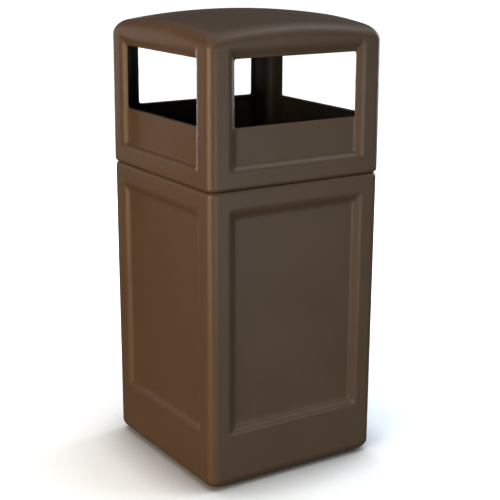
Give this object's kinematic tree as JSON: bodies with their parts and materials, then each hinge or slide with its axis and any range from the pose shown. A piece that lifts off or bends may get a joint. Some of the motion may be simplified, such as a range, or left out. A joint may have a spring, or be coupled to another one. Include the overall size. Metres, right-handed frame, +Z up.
{
  "type": "square litter bin with ashtray",
  "caption": "Free-standing square litter bin: container, lift-off domed hood open on all sides, hidden lift-out ash pan and lift-out liner with swing handles.",
  "frame": {"origin": "on the ground under the middle of the bin", "axes": "+Z up; -Y is the front, the side with the ash pan behind its opening; +X to the right seen from the front"},
  "size_m": [0.458, 0.458, 1.06],
  "materials": {
    "brown_plastic": "satin, finely grained",
    "black_rubber": "matte",
    "steel_fixings": "bright zinc",
    "stainless_sheet": "brushed",
    "plated_steel": "dull zinc",
    "grey_plastic": "matte",
    "black_grip": "ribbed, matte"
  },
  "bodies": {
    "body": {"container_shell": "brown_plastic", "foot_front_left": "black_rubber", "foot_front_right": "black_rubber", "foot_back_left": "black_rubber", "foot_back_right": "black_rubber", "foot_screws": "steel_fixings"},
    "hood": {"dome_hood": "brown_plastic", "ash_bracket": "stainless_sheet", "bracket_screws": "steel_fixings"},
    "pan": {"ash_pan": "stainless_sheet"},
    "grid": {"stub_grid": "stainless_sheet"},
    "liner": {"liner_tub": "grey_plastic", "liner_lug_left_front": "plated_steel", "liner_lug_left_back": "plated_steel", "liner_lug_right_front": "plated_steel", "liner_lug_right_back": "plated_steel", "lug_rivets": "steel_fixings"},
    "handle_left": {"bail_left": "plated_steel", "grip_left": "black_grip"},
    "handle_right": {"bail_right": "plated_steel", "grip_right": "black_grip"}
  },
  "joints": [
    {"name": "hood_lift", "type": "slide", "parent": "body", "child": "hood", "axis": [0, 0, 1], "range_m": [0, 0.35]},
    {"name": "liner_lift", "type": "slide", "parent": "body", "child": "liner", "axis": [0, 0, 1], "range_m": [0, 0.08]},
    {"name": "pan_lift", "type": "slide", "parent": "hood", "child": "pan", "axis": [0, 0, 1], "range_m": [0, 0.075]},
    {"name": "grid_lift", "type": "slide", "parent": "pan", "child": "grid", "axis": [0, 0, 1], "range_m": [0, 0.04]},
    {"name": "handle_left_swing", "type": "hinge", "parent": "liner", "child": "handle_left", "pos_m": [-0.178, 0, 0.65], "axis": [0, -1, 0], "range_deg": [0, 165]},
    {"name": "handle_right_swing", "type": "hinge", "parent": "liner", "child": "handle_right", "pos_m": [0.178, 0, 0.65], "axis": [0, 1, 0], "range_deg": [0, 165]}
  ]
}
